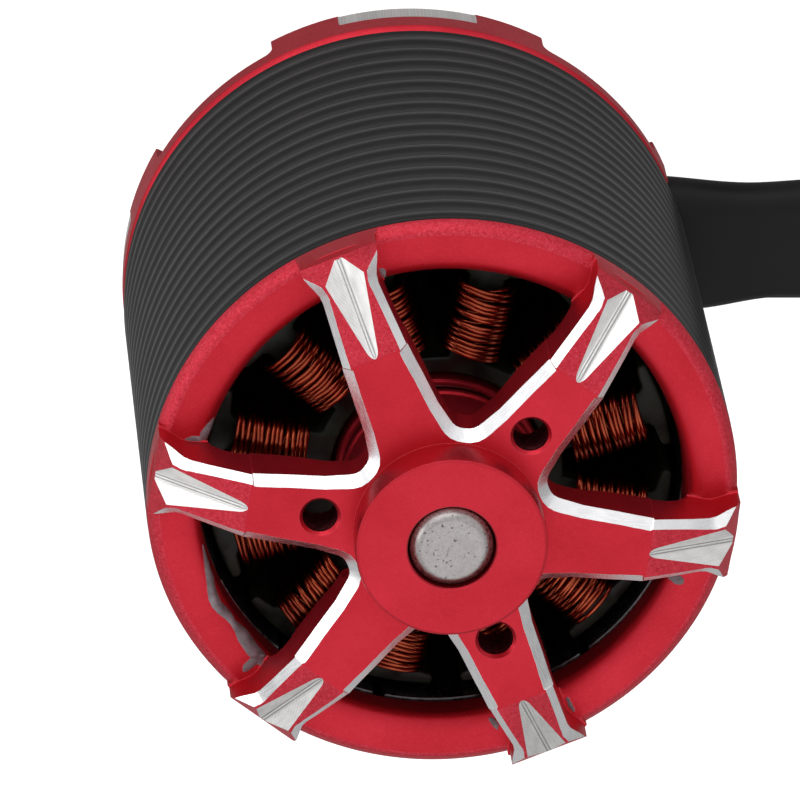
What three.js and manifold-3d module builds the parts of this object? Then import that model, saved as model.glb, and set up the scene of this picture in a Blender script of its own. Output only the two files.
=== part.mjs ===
// Brushless outrunner motor. Millimetres, +Z along the shaft towards the bell.
// Origin: centre of the rear mounting face. The three motor leads leave along +X.
// Touching pieces keep a small gap, GAP, so that every piece is its own closed solid.
import * as THREE from 'three';
import { mergeVertices } from 'three/addons/utils/BufferGeometryUtils.js';
import Module from 'manifold-3d';

const wasm = await Module();
wasm.setup();

// ---- driving dimensions -------------------------------------------------
const GAP = 0.3;
const DEG = Math.PI / 180;

// can and rotor
const CAN_R = 21.0;
const CAN_GROOVE_R = 20.76;
const CAN_INNER_R = 19.5;
const CAN_REAR_Z = 4.6;
const CAN_FRONT_Z = 39.85;
const RIDGE_COUNT = 17;
const RIDGE_PITCH = 2.035;
const RIDGE_FIRST_Z = 6.39;
const MAGNET_COUNT = 14;
const MAGNET_INNER_R = 17.2;
const MAGNET_OUTER_R = 19.2;
const MAGNET_SPAN = 23.4 * DEG;
const MAGNET_Z = [8.5, 38.0];

// bell
const SPOKE_COUNT = 6;
const SPOKE_PHASE = -7.0 * DEG;
const BELL_R = 21.05;
const RING_REAR_Z = 38.6;
const RING_SEAT_Z = 40.15;
const RING_FACE_Z = 41.1;
const RING_INNER_R = 17.2;
const SPIGOT_R = 19.2;
const HUB_R = 7.65;
const HUB_REAR_Z = 41.0;
const SPACER_R = 4.4;
const SPACER_REAR_Z = 38.3;
const SPOKE_TOP_Z = 47.0;
const BOSS_R = 6.75;
const BOSS_FACE_Z = 49.9;
const BOSS_CHAMFER = 0.25;
const BELL_BORE_R = 3.3;
const FACE_HOLE_R = 1.25;
const FACE_HOLE_SINK_R = 1.6;
const FACE_HOLE_PCR = 9.16;
const FACE_HOLE_SPOKES = [1, 3, 5];
const GRUB_ANGLES = [203 * DEG, 323 * DEG];
const GRUB_Z = 44.4;
const GRUB_R = 1.2;
const KITE_INNER_S = 14.26;
const KITE_CREST_S = 19.75;
const KITE_HALF_W = 1.45;

// Spoke sections from hub to rim: distance from the axis, half width and height of the top
// edge, half width and height of the side edge below its chamfer, height of the underside.
const SPOKE_SECTIONS = [
  { s: 5.2, topW: 2.7, topZ: 47.0, sideW: 3.36, sideZ: 46.2, underZ: 42.9 },
  { s: 14.3, topW: 2.05, topZ: 47.0, sideW: 2.62, sideZ: 46.2, underZ: 42.9 },
  { s: 16.0, topW: 1.93, topZ: 46.26, sideW: 2.48, sideZ: 45.48, underZ: 42.9 },
  { s: 17.6, topW: 1.78, topZ: 45.57, sideW: 2.36, sideZ: 44.8, underZ: 40.8 },
  { s: 18.8, topW: 1.7, topZ: 45.05, sideW: 2.36, sideZ: 44.25, underZ: 40.3 },
  { s: 19.75, topW: 1.68, topZ: 44.65, sideW: 2.6, sideZ: 43.7, underZ: 40.3 },
  { s: 20.3, topW: 2.2, topZ: 43.95, sideW: 2.84, sideZ: 43.2, underZ: 40.3 },
  { s: 21.4, topW: 2.75, topZ: 42.7, sideW: 2.95, sideZ: 42.6, underZ: 40.3 },
];

// shaft and bearings
const SHAFT_R = 3.0;
const SHAFT_Z = [0.4, 50.1];
const SHAFT_GROOVE_R = 2.2;
const SHAFT_GROOVE_Z = [0.7, 1.6];
const BEARING_OUTER_R = 6.5;
const BEARING_WIDTH = 5.0;
const REAR_BEARING_Z = 1.9;
const FRONT_BEARING_Z = 32.2;
const BALL_COUNT = 8;
const BALL_R = 0.5;
const BALL_PITCH_R = 4.75;

// stator
const TUBE_R = 7.4;
const TUBE_FRONT_Z = 37.4;
const CORE_Z = [10.3, 36.8];
const CORE_R = 16.65;
const CORE_BORE_R = 7.7;
const YOKE_R = 8.9;
const TOOTH_COUNT = 12;
const TOOTH_PHASE = 18.8 * DEG;
const TOOTH_HALF_W = 1.3;
const SHOE_INNER_R = 15.7;
const SHOE_HALF_ANGLE = 11.5 * DEG;
const COIL_R = [9.5, 15.2];
const COIL_HALF_W = 2.25;
const COIL_END = 2.35;

// mount base
const BASE_R = 20.9;
const BASE_REAR_R = 20.4;
const BASE_FRONT_Z = 4.3;
const LUG_Z = 2.3;
const LUG_PHASE = 1 * DEG;
const LUG_GAP_ANGLE = 33 * DEG;
const LUG_ROOT_R = 15.0;
const VENT_R = [10.8, 18.4];
const VENT_ANGLE = 33 * DEG;
const BOLT_PCR = 12.5;
const BOLT_R = 1.7;
const SHOULDER_R = 9.2;

// leads
const LEAD_R = 1.3;
const LEAD_PITCH = 2.9;
const LEAD_Y = 3.1;
const LEAD_START_X = 17.6;
const LEAD_END_X = 98;
const SLEEVE_X = [17.4, 46];
const SLEEVE_WALL = 0.25;
const NOTCH_HALF_W = 5.35;
const NOTCH_X = 16.8;
const SLEEVE_Z = 2.2;
const CONNECTOR_PITCH = 6.2;

// ---- helpers ------------------------------------------------------------

// A geometry with shared vertices, no collapsed faces, and its faces turned outwards.
function closed(geometry) {
  const bare = new THREE.BufferGeometry();
  bare.setAttribute('position', geometry.getAttribute('position').clone());
  if (geometry.index) bare.setIndex(geometry.index.clone());
  const merged = mergeVertices(bare, 1e-4);
  const p = merged.getAttribute('position').array;
  const old = merged.index.array;
  const faces = [];
  let volume = 0;
  for (let i = 0; i < old.length; i += 3) {
    const [a, b, c] = [old[i], old[i + 1], old[i + 2]];
    if (a === b || b === c || c === a) continue;
    faces.push(a, b, c);
    const [va, vb, vc] = [a, b, c].map((k) => new THREE.Vector3().fromArray(p, 3 * k));
    volume += va.dot(vb.cross(vc));
  }
  if (volume < 0) {
    for (let i = 0; i < faces.length; i += 3) {
      [faces[i + 1], faces[i + 2]] = [faces[i + 2], faces[i + 1]];
    }
  }
  merged.setIndex(faces);
  return merged;
}

// A three.js geometry as a manifold-3d solid.
function solid(geometry) {
  const g = closed(geometry);
  return new wasm.Manifold(new wasm.Mesh({
    numProp: 3,
    vertProperties: Float32Array.from(g.getAttribute('position').array),
    triVerts: Uint32Array.from(g.index.array),
  }));
}

// A manifold-3d solid as a three.js geometry.
function geometryOf(manifold) {
  const mesh = manifold.getMesh();
  const count = mesh.vertProperties.length / mesh.numProp;
  const positions = new Float32Array(3 * count);
  for (let i = 0; i < count; i += 1) {
    for (let j = 0; j < 3; j += 1) {
      positions[3 * i + j] = mesh.vertProperties[mesh.numProp * i + j];
    }
  }
  const geometry = new THREE.BufferGeometry();
  geometry.setAttribute('position', new THREE.BufferAttribute(positions, 3));
  geometry.setIndex(Array.from(mesh.triVerts));
  return geometry;
}

// A body of revolution about Z from [radius, z] pairs. A ring's profile closes on itself.
function turned(profile, segments, isRing = true) {
  const points = profile.map(([r, z]) => new THREE.Vector2(r, z));
  if (isRing) points.push(points[0].clone());
  const geometry = new THREE.LatheGeometry(points, segments);
  geometry.rotateX(Math.PI / 2);
  return geometry;
}

// A plain ring or washer.
function ring(innerR, outerR, z0, z1, segments) {
  return turned([[innerR, z0], [outerR, z0], [outerR, z1], [innerR, z1]], segments);
}

// A plate of the given outline between two heights.
function plate(outline, z0, z1, holes = []) {
  const shape = new THREE.Shape(outline);
  for (const hole of holes) shape.holes.push(new THREE.Path(hole));
  const geometry = new THREE.ExtrudeGeometry(shape, { depth: z1 - z0, bevelEnabled: false });
  geometry.translate(0, 0, z0);
  return geometry;
}

function polar(r, angle) {
  return new THREE.Vector2(r * Math.cos(angle), r * Math.sin(angle));
}

// Points of an arc about the axis.
function arc(r, from, to, steps) {
  return Array.from({ length: steps + 1 }, (_, i) => polar(r, from + ((to - from) * i) / steps));
}

// The outline of a slice of a ring, centred on an angle.
function sector(innerR, outerR, centre, span, steps) {
  const [from, to] = [centre - span / 2, centre + span / 2];
  return [...arc(outerR, from, to, steps), ...arc(innerR, to, from, steps)];
}

function cylinderAt(x, y, r, z0, z1, segments) {
  const geometry = new THREE.CylinderGeometry(r, r, z1 - z0, segments);
  geometry.rotateX(Math.PI / 2);
  geometry.translate(x, y, (z0 + z1) / 2);
  return geometry;
}

// A solid that joins a row of convex sections, each a list of [x, y, z].
function loft(sections) {
  const n = sections[0].length;
  const positions = sections.flat(2);
  const faces = [];
  for (let i = 0; i + 1 < sections.length; i += 1) {
    for (let j = 0; j < n; j += 1) {
      const a = i * n + j;
      const b = i * n + ((j + 1) % n);
      faces.push(a, b, b + n, a, b + n, a + n);
    }
  }
  const last = (sections.length - 1) * n;
  for (let j = 1; j + 1 < n; j += 1) {
    faces.push(0, j + 1, j, last, last + j, last + j + 1);
  }
  const geometry = new THREE.BufferGeometry();
  geometry.setAttribute('position', new THREE.Float32BufferAttribute(positions, 3));
  geometry.setIndex(faces);
  return geometry;
}

// ---- materials ----------------------------------------------------------
const look = (color, roughness, metalness) => ({ color, roughness, metalness });
const LOOKS = {
  redAnodised: look(0xb3202c, 0.42, 0.75),
  blackCan: look(0x2c2c2e, 0.38, 0.8),
  steel: look(0xb9b7b4, 0.3, 1.0),
  bearingSteel: look(0xc6c8ca, 0.22, 1.0),
  magnet: look(0x4a4b4e, 0.45, 0.7),
  blackOxide: look(0x1b1b1d, 0.45, 0.8),
  coreCoat: look(0x1d211a, 0.45, 0.1),
  copper: look(0xa4542a, 0.3, 0.9),
  brass: look(0xb98a3c, 0.35, 0.9),
  sleeve: look(0x17171a, 0.55, 0.0),
  silicone: look(0x1c1c1f, 0.6, 0.0),
  gold: look(0xd0a44a, 0.25, 1.0),
  shrink: look(0x18181a, 0.5, 0.0),
};

const motor = new THREE.Group();
motor.name = 'outrunner_motor';

function addMesh(name, geometry, lookName) {
  const material = new THREE.MeshStandardMaterial(LOOKS[lookName]);
  const mesh = new THREE.Mesh(closed(geometry), material);
  mesh.name = name;
  motor.add(mesh);
  return mesh;
}

// ---- mount base and bearing tube ---------------------------------------
function mountBase() {
  let body = solid(turned([
    [BEARING_OUTER_R + GAP, 0],
    [BASE_REAR_R, 0],
    [BASE_R, LUG_Z],
    [BASE_R, BASE_FRONT_Z],
    [SHOULDER_R, BASE_FRONT_Z],
    [SHOULDER_R, CORE_Z[0] - GAP],
    [TUBE_R, CORE_Z[0] - GAP],
    [TUBE_R, TUBE_FRONT_Z],
    [BEARING_OUTER_R + GAP, TUBE_FRONT_Z],
    [BEARING_OUTER_R + GAP, FRONT_BEARING_Z - GAP],
    [5.7, FRONT_BEARING_Z - GAP],
    [5.7, REAR_BEARING_Z + BEARING_WIDTH + GAP],
    [BEARING_OUTER_R + GAP, REAR_BEARING_Z + BEARING_WIDTH + GAP],
  ], 48));
  for (let i = 0; i < 4; i += 1) {
    const between = LUG_PHASE + (i + 0.5) * 90 * DEG;
    const gap = sector(LUG_ROOT_R, BASE_R + 2, between, LUG_GAP_ANGLE, 4);
    const vent = sector(VENT_R[0], VENT_R[1], between, VENT_ANGLE, 5);
    const bolt = polar(BOLT_PCR, LUG_PHASE + i * 90 * DEG);
    body = body
      .subtract(solid(plate(gap, -1, LUG_Z)))
      .subtract(solid(plate(vent, -1, BASE_FRONT_Z + 1)))
      .subtract(solid(cylinderAt(bolt.x, bolt.y, BOLT_R, -1, BASE_FRONT_Z + 1, 16)));
  }
  const notch = new THREE.BoxGeometry(10, 2 * NOTCH_HALF_W, BASE_FRONT_Z + 2);
  notch.translate(NOTCH_X + 5, LEAD_Y, BASE_FRONT_Z / 2);
  return geometryOf(body.subtract(solid(notch)));
}
addMesh('mount_base', mountBase(), 'redAnodised');

// ---- stator core and coils ---------------------------------------------
function statorCore() {
  const outline = [];
  for (let i = 0; i < TOOTH_COUNT; i += 1) {
    const centre = TOOTH_PHASE + i * 30 * DEG;
    const neck = (r) => Math.asin(TOOTH_HALF_W / r);
    outline.push(
      polar(YOKE_R, centre - neck(YOKE_R)),
      polar(SHOE_INNER_R, centre - neck(SHOE_INNER_R)),
      polar(SHOE_INNER_R + 0.25, centre - SHOE_HALF_ANGLE),
      ...arc(CORE_R, centre - SHOE_HALF_ANGLE, centre + SHOE_HALF_ANGLE, 3),
      polar(SHOE_INNER_R + 0.25, centre + SHOE_HALF_ANGLE),
      polar(SHOE_INNER_R, centre + neck(SHOE_INNER_R)),
      polar(YOKE_R, centre + neck(YOKE_R)),
    );
  }
  return plate(outline, CORE_Z[0], CORE_Z[1], [arc(CORE_BORE_R, 0, -330 * DEG, 11)]);
}

// A coil's winding as a rounded loop round a tooth that points along +X.
function coilLoop() {
  const [halfStack, clear] = [(CORE_Z[1] - CORE_Z[0]) / 2, GAP];
  const [w, h, c] = [COIL_HALF_W, halfStack + clear + COIL_END, 1.5];
  const corners = [[1, 1], [-1, 1], [-1, -1], [1, -1]];
  const outline = corners.flatMap(([sx, sy]) => {
    const cut = [
      new THREE.Vector2(sx * w, sy * (h - c)),
      new THREE.Vector2(sx * (w - 0.3 * c), sy * (h - 0.3 * c)),
      new THREE.Vector2(sx * (w - c), sy * h),
    ];
    return sx * sy > 0 ? cut : cut.reverse();
  });
  const [hw, hh] = [TOOTH_HALF_W + clear, halfStack + clear];
  const hole = [[hw, hh], [hw, -hh], [-hw, -hh], [-hw, hh]].map(([x, y]) => new THREE.Vector2(x, y));
  const loop = plate(outline, COIL_R[0], COIL_R[1], [hole]);
  const [ex, ey, ez] = [[1, 0, 0], [0, 1, 0], [0, 0, 1]].map((v) => new THREE.Vector3(...v));
  return loop.applyMatrix4(new THREE.Matrix4().makeBasis(ey, ez, ex));
}

addMesh('stator_core', statorCore(), 'coreCoat');
for (let i = 0; i < TOOTH_COUNT; i += 1) {
  const coil = addMesh(`coil_${i + 1}`, coilLoop(), 'copper');
  coil.position.z = (CORE_Z[0] + CORE_Z[1]) / 2;
  coil.rotation.z = TOOTH_PHASE + i * 30 * DEG;
}

// ---- bearings -----------------------------------------------------------
function ballCage() {
  let cage = solid(ring(4.55, 4.95, -0.35, 0.35, 24));
  for (let i = 0; i < BALL_COUNT; i += 1) {
    const ball = new THREE.IcosahedronGeometry(BALL_R, 0);
    const at = polar(BALL_PITCH_R, (i * 2 * Math.PI) / BALL_COUNT);
    ball.translate(at.x, at.y, 0);
    cage = cage.add(solid(ball));
  }
  return geometryOf(cage);
}

function addBearing(name, z0, shieldZ) {
  const [z1, mid] = [z0 + BEARING_WIDTH, z0 + BEARING_WIDTH / 2];
  const b = 0.3;
  addMesh(`${name}_outer_race`, turned([
    [5.55, z0], [BEARING_OUTER_R - b, z0], [BEARING_OUTER_R, z0 + b],
    [BEARING_OUTER_R, z1 - b], [BEARING_OUTER_R - b, z1], [5.55, z1],
  ], 36), 'bearingSteel');
  addMesh(`${name}_inner_race`, ring(SHAFT_R + GAP, 3.95, z0, z1, 30), 'bearingSteel');
  addMesh(`${name}_shield`, ring(4.25, 5.25, shieldZ, shieldZ + 0.25, 24), 'bearingSteel');
  addMesh(`${name}_cage`, ballCage(), 'brass').position.z = mid;
}
addBearing('rear_bearing', REAR_BEARING_Z, REAR_BEARING_Z + 0.2);
addBearing('front_bearing', FRONT_BEARING_Z, FRONT_BEARING_Z + BEARING_WIDTH - 0.45);

// ---- shaft and its fittings --------------------------------------------
addMesh('shaft', turned([
  [0, SHAFT_Z[0]],
  [SHAFT_R - 0.4, SHAFT_Z[0]],
  [SHAFT_GROOVE_R + 0.3, SHAFT_GROOVE_Z[0] - 0.1],
  [SHAFT_GROOVE_R, SHAFT_GROOVE_Z[0]],
  [SHAFT_GROOVE_R, SHAFT_GROOVE_Z[1]],
  [SHAFT_R, SHAFT_GROOVE_Z[1]],
  [SHAFT_R, SHAFT_Z[1] - 0.3],
  [SHAFT_R - 0.3, SHAFT_Z[1]],
  [0, SHAFT_Z[1]],
], 32, false), 'steel');
addMesh('e_clip', plate([
  ...arc(4.6, -140 * DEG, 140 * DEG, 14),
  ...arc(SHAFT_GROOVE_R + GAP, 140 * DEG, -140 * DEG, 12),
], 0.9, 1.4), 'blackOxide');
addMesh('shim_washer', ring(SHAFT_R + GAP, 4.2, 37.5, 38.0, 30), 'steel');

// ---- can and magnets ----------------------------------------------------
function ridgedCan() {
  const outside = [[CAN_R - 0.15, CAN_REAR_Z]];
  for (let i = 0; i < RIDGE_COUNT; i += 1) {
    const z = RIDGE_FIRST_Z + i * RIDGE_PITCH;
    outside.push([CAN_GROOVE_R, z - RIDGE_PITCH / 2], [CAN_R, z]);
  }
  outside.push([CAN_R - 0.1, CAN_FRONT_Z]);
  return turned([[CAN_INNER_R, CAN_REAR_Z], ...outside, [CAN_INNER_R, CAN_FRONT_Z]], 36);
}
addMesh('can', ridgedCan(), 'blackCan');
for (let i = 0; i < MAGNET_COUNT; i += 1) {
  const centre = ((i + 0.5) * 2 * Math.PI) / MAGNET_COUNT;
  const outline = sector(MAGNET_INNER_R, MAGNET_OUTER_R, centre, MAGNET_SPAN, 3);
  addMesh(`magnet_${i + 1}`, plate(outline, MAGNET_Z[0], MAGNET_Z[1]), 'magnet');
}

// ---- bell ---------------------------------------------------------------
// One spoke along +X, with chamfered edges, sloping end and flared root at the rim.
function spoke() {
  return solid(loft(SPOKE_SECTIONS.map(({ s, topW, topZ, sideW, sideZ, underZ }) => [
    [s, -sideW, underZ],
    [s, sideW, underZ],
    [s, sideW, sideZ],
    [s, topW, topZ],
    [s, -topW, topZ],
    [s, -sideW, sideZ],
  ])));
}

// The V-shaped cut along a spoke's sloping end.
function kiteCut() {
  const section = (s, halfW, topZ, floorZ) => [
    [s, -halfW - 0.35, topZ],
    [s, -0.35, floorZ],
    [s, 0.35, floorZ],
    [s, halfW + 0.35, topZ],
  ];
  return solid(loft([
    section(KITE_INNER_S - 0.35, 0.05, 47.3, SPOKE_TOP_Z - 0.05),
    section(KITE_CREST_S, KITE_HALF_W - 0.2, 45.0, 44.05),
    section(22.5, 2.2, 44.4, 42.9),
  ]));
}

function bell() {
  let body = solid(turned([
    [RING_INNER_R, RING_REAR_Z],
    [SPIGOT_R, RING_REAR_Z],
    [SPIGOT_R, RING_SEAT_Z],
    [BELL_R, RING_SEAT_Z],
    [20.3, 41.15],
    [17.9, RING_FACE_Z],
    [RING_INNER_R, 40.4],
  ], 48));
  const hub = turned([
    [BELL_BORE_R, SPACER_REAR_Z],
    [SPACER_R, SPACER_REAR_Z],
    [SPACER_R, HUB_REAR_Z],
    [HUB_R, HUB_REAR_Z],
    [HUB_R, SPOKE_TOP_Z - 0.8],
    [HUB_R - 0.6, SPOKE_TOP_Z],
    [BOSS_R, SPOKE_TOP_Z],
    [BOSS_R, BOSS_FACE_Z - BOSS_CHAMFER],
    [BOSS_R - BOSS_CHAMFER, BOSS_FACE_Z],
    [BELL_BORE_R, BOSS_FACE_Z],
  ], 40);
  body = body.add(solid(hub));
  const edge = solid(cylinderAt(0, 0, BELL_R, 38, 50, 48));
  const turn = (manifold, angle) => manifold.rotate([0, 0, angle / DEG]);
  const blade = spoke().subtract(kiteCut()).intersect(edge);
  for (let i = 0; i < SPOKE_COUNT; i += 1) {
    body = body.add(turn(blade, SPOKE_PHASE + i * 60 * DEG));
  }
  for (const i of FACE_HOLE_SPOKES) {
    const at = polar(FACE_HOLE_PCR, SPOKE_PHASE + i * 60 * DEG);
    const sink = new THREE.CylinderGeometry(FACE_HOLE_SINK_R + 0.1, FACE_HOLE_R, 0.5, 16);
    sink.rotateX(Math.PI / 2);
    sink.translate(at.x, at.y, SPOKE_TOP_Z - 0.15);
    body = body
      .subtract(solid(cylinderAt(at.x, at.y, FACE_HOLE_R, 40, 49, 16)))
      .subtract(solid(sink));
  }
  for (const angle of GRUB_ANGLES) {
    const hole = cylinderAt(0, 0, GRUB_R + GAP, 2, 9, 12);
    hole.rotateY(Math.PI / 2);
    hole.translate(0, 0, GRUB_Z);
    body = body.subtract(turn(solid(hole), angle));
  }
  // The bore is cut again through the roots of the spokes.
  return geometryOf(body.subtract(solid(cylinderAt(0, 0, BELL_BORE_R, 38, 51, 40))));
}
addMesh('bell', bell(), 'redAnodised');

// Grub screws: short threaded pins with a hexagon socket.
GRUB_ANGLES.forEach((angle, i) => {
  const body = solid(cylinderAt(0, 0, GRUB_R, SHAFT_R + GAP, 7.1, 16));
  const socket = cylinderAt(0, 0, 0.7, 5.8, 8, 6);
  const screw = geometryOf(body.subtract(solid(socket)));
  screw.rotateY(Math.PI / 2);
  const mesh = addMesh(`grub_screw_${i + 1}`, screw, 'blackOxide');
  mesh.position.z = GRUB_Z;
  mesh.rotation.z = angle;
});

// ---- leads, sleeve and connectors --------------------------------------
function stadium(halfWidth, halfHeight, steps) {
  const points = [];
  for (const side of [1, -1]) {
    for (let i = 0; i <= steps; i += 1) {
      const a = side * 90 * DEG - (Math.PI * i) / steps;
      const x = side * (halfWidth - halfHeight) + halfHeight * Math.cos(a);
      points.push(new THREE.Vector2(x, halfHeight * Math.sin(a)));
    }
  }
  return points;
}

// The heat-shrink sleeve: a flat tube over the three leads, wider where it leaves the base.
function sleeve() {
  const inner = [LEAD_PITCH + LEAD_R + GAP, LEAD_R + GAP];
  const flare = [[SLEEVE_X[0], 0.3, 0.1], [24, 0.15, 0.05], [30, 0, 0], [SLEEVE_X[1], 0, 0]];
  const tube = (grow) => loft(flare.map(([x, dw, dh]) => (
    stadium(inner[0] + grow + (grow > 0 ? dw : 0), inner[1] + grow + (grow > 0 ? dh : 0), 5)
      .map((p) => [x, LEAD_Y + p.x, SLEEVE_Z + p.y])
  )));
  const bore = loft([SLEEVE_X[0] - 1, SLEEVE_X[1] + 1].map((x) => (
    stadium(inner[0], inner[1], 5).map((p) => [x, LEAD_Y + p.x, SLEEVE_Z + p.y])
  )));
  return geometryOf(solid(tube(SLEEVE_WALL)).subtract(solid(bore)));
}
addMesh('lead_sleeve', sleeve(), 'sleeve');

const EIGHT_SIDES = Array.from({ length: 8 }, (_, i) => polar(LEAD_R, i * 45 * DEG));

for (const [i, name] of ['a', 'b', 'c'].entries()) {
  const offset = (i - 1) * LEAD_PITCH;
  const spread = (i - 1) * CONNECTOR_PITCH;
  const path = new THREE.CatmullRomCurve3([
    new THREE.Vector3(LEAD_START_X, LEAD_Y + offset, SLEEVE_Z),
    new THREE.Vector3(32, LEAD_Y + offset, SLEEVE_Z),
    new THREE.Vector3(SLEEVE_X[1], LEAD_Y + offset, SLEEVE_Z),
    new THREE.Vector3(52, LEAD_Y + 0.8 * offset + 0.2 * spread, 1.9),
    new THREE.Vector3(66, LEAD_Y + 0.3 * offset + 0.7 * spread, 1.4),
    new THREE.Vector3(80, LEAD_Y + spread, 1.7),
    new THREE.Vector3(88, LEAD_Y + spread, 2.4),
    new THREE.Vector3(LEAD_END_X, LEAD_Y + spread, 2.5),
  ]);
  const cord = new THREE.ExtrudeGeometry(new THREE.Shape(EIGHT_SIDES), {
    steps: 16,
    bevelEnabled: false,
    extrudePath: path,
  });
  addMesh(`lead_${name}`, cord, 'silicone');

  const [x, y, z] = [LEAD_END_X, LEAD_Y + spread, 2.5];
  const plug = turned([
    [0, 0.3], [1.9, 0.3], [1.9, 7], [1.6, 7.3], [1.6, 8],
    [1.75, 9.5], [1.75, 15], [1.1, 17.5], [0, 17.5],
  ], 16, false);
  plug.rotateY(Math.PI / 2);
  plug.translate(x, y, z);
  addMesh(`bullet_connector_${name}`, plug, 'gold');
  const shrink = turned([
    [1.65, -4.5], [1.95, -4.5], [2.45, -0.6], [2.45, 6.6], [2.2, 6.6], [2.2, -0.3],
  ], 16);
  shrink.rotateY(Math.PI / 2);
  shrink.translate(x, y, z);
  addMesh(`connector_shrink_${name}`, shrink, 'shrink');
}

export default motor;
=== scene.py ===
"""Brushless outrunner motor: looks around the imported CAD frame.

Shapes are in millimetres and finish_piece scales them. The camera, the floor, the lights, the
bump depths and names that end in _M are in metres."""
import math
import random

import bmesh
import bpy
from mathutils import Matrix, Vector


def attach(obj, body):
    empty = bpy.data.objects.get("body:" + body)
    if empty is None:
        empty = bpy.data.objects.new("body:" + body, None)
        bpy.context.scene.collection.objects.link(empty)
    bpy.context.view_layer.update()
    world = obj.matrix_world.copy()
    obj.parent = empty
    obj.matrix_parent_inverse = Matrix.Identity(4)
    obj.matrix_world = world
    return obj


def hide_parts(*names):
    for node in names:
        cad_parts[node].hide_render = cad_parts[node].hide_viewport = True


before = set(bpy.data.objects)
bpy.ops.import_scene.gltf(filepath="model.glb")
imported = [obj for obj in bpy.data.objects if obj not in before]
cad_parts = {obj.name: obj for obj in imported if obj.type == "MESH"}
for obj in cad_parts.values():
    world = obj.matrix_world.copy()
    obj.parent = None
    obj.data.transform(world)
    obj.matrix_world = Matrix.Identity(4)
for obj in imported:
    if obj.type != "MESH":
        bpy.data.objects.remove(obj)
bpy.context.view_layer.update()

MM = 0.001
TAU = 2 * math.pi
# The can's ridges, which its mesh and its material share.
RIDGE_PITCH, RIDGE_FIRST_Z = 2.035, 6.39
scene = bpy.context.scene


def rad(degrees):
    return math.radians(degrees)


# ---- camera ----
LENS = 486.7
CAMERA_AT = (-0.06073, 0.313559, 0.735721)
CAMERA_RIGHT = (0.997148, 0.030434, 0.069063)
CAMERA_UP = (0.0, 0.915091, -0.403247)
CAMERA_BACK = (-0.075472, 0.402097, 0.912481)


def add_camera():
    data = bpy.data.cameras.new("camera")
    data.sensor_width = 36.0
    data.lens = LENS
    data.clip_start = 0.01
    data.clip_end = 20.0
    camera = bpy.data.objects.new("camera", data)
    scene.collection.objects.link(camera)
    turn = Matrix((CAMERA_RIGHT, CAMERA_UP, CAMERA_BACK)).transposed()
    camera.matrix_world = Matrix.Translation(CAMERA_AT) @ turn.to_4x4()
    scene.camera = camera


add_camera()

# ---- node helpers ----


class Nodes:
    """A short way to write the node tree of a material or of the sky."""

    def __init__(self, tree):
        self.tree = tree

    def add(self, kind, inputs=None, **settings):
        node = self.tree.nodes.new(kind)
        for key, value in settings.items():
            setattr(node, key, value)
        for key, value in (inputs or {}).items():
            self.put(node.inputs[key], value)
        return node

    def put(self, socket, value):
        if isinstance(value, bpy.types.NodeSocket):
            self.tree.links.new(value, socket)
        elif socket.type == "RGBA":
            socket.default_value = (*value, 1)
        else:
            socket.default_value = value

    def coords(self, scale=(1, 1, 1), source="Object", rotation=(0, 0, 0)):
        tex = self.add("ShaderNodeTexCoord")
        return self.add("ShaderNodeMapping", {
            "Vector": tex.outputs[source], "Scale": scale, "Rotation": rotation}).outputs[0]

    def noise(self, vector, scale, detail=3.0, rough=0.5):
        return self.add("ShaderNodeTexNoise", {
            "Vector": vector, "Scale": scale, "Detail": detail,
            "Roughness": rough}).outputs["Fac"]

    def math(self, operation, a, b=0.0):
        return self.add("ShaderNodeMath", {0: a, 1: b}, operation=operation).outputs[0]

    def ramp(self, value, low, high, out_low=0.0, out_high=1.0):
        return self.add("ShaderNodeMapRange", {
            "Value": value, "From Min": low, "From Max": high, "To Min": out_low,
            "To Max": out_high}, clamp=True).outputs[0]

    def spread(self, noise, out_low=0.0, out_high=1.0):
        """Stretches a noise, which mostly stays between 0.3 and 0.7, over a wider range."""
        return self.ramp(noise, 0.3, 0.7, out_low, out_high)

    def mix(self, factor, a, b):
        node = self.add("ShaderNodeMix", data_type="RGBA")
        for socket, value in zip((node.inputs[0], node.inputs[6], node.inputs[7]),
                                 (factor, a, b)):
            self.put(socket, value)
        return node.outputs[2]

    def bump(self, height, strength, distance, normal=None):
        inputs = {"Height": height, "Strength": strength, "Distance": distance}
        if normal is not None:
            inputs["Normal"] = normal
        return self.add("ShaderNodeBump", inputs).outputs[0]

    def soft_edges(self, radius_mm):
        return self.add("ShaderNodeBevel", {"Radius": radius_mm * MM}, samples=4).outputs[0]

    def edge_highlight_mask(self, radius_mm):
        """1 on convex and concave edges, 0 on flats."""
        soft = self.soft_edges(radius_mm)
        true = self.add("ShaderNodeNewGeometry").outputs["Normal"]
        dot = self.add("ShaderNodeVectorMath", {0: soft, 1: true}, operation="DOT_PRODUCT")
        return self.ramp(self.math("SUBTRACT", 1.0, dot.outputs["Value"]), 0.03, 0.25)

    def surface(self, shader, tone, roughness, normal):
        self.put(shader["Base Color"], tone)
        self.put(shader["Roughness"], roughness)
        self.put(shader["Normal"], normal)


def material(name, color, metallic, roughness, build=None, **constants):
    """A material whose plain values are replaced by what build draws."""
    mat = bpy.data.materials.new(name)
    mat.use_nodes = True
    mat.diffuse_color = (*color, 1)
    shader = mat.node_tree.nodes["Principled BSDF"]
    shader.inputs["Base Color"].default_value = (*color, 1)
    shader.inputs["Metallic"].default_value = metallic
    shader.inputs["Roughness"].default_value = roughness
    for key, value in constants.items():
        shader.inputs[key.replace("_", " ")].default_value = value
    if build:
        build(Nodes(mat.node_tree), shader.inputs)
    return mat


# ---- materials ----
RED = (0.60, 0.018, 0.040)


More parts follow.
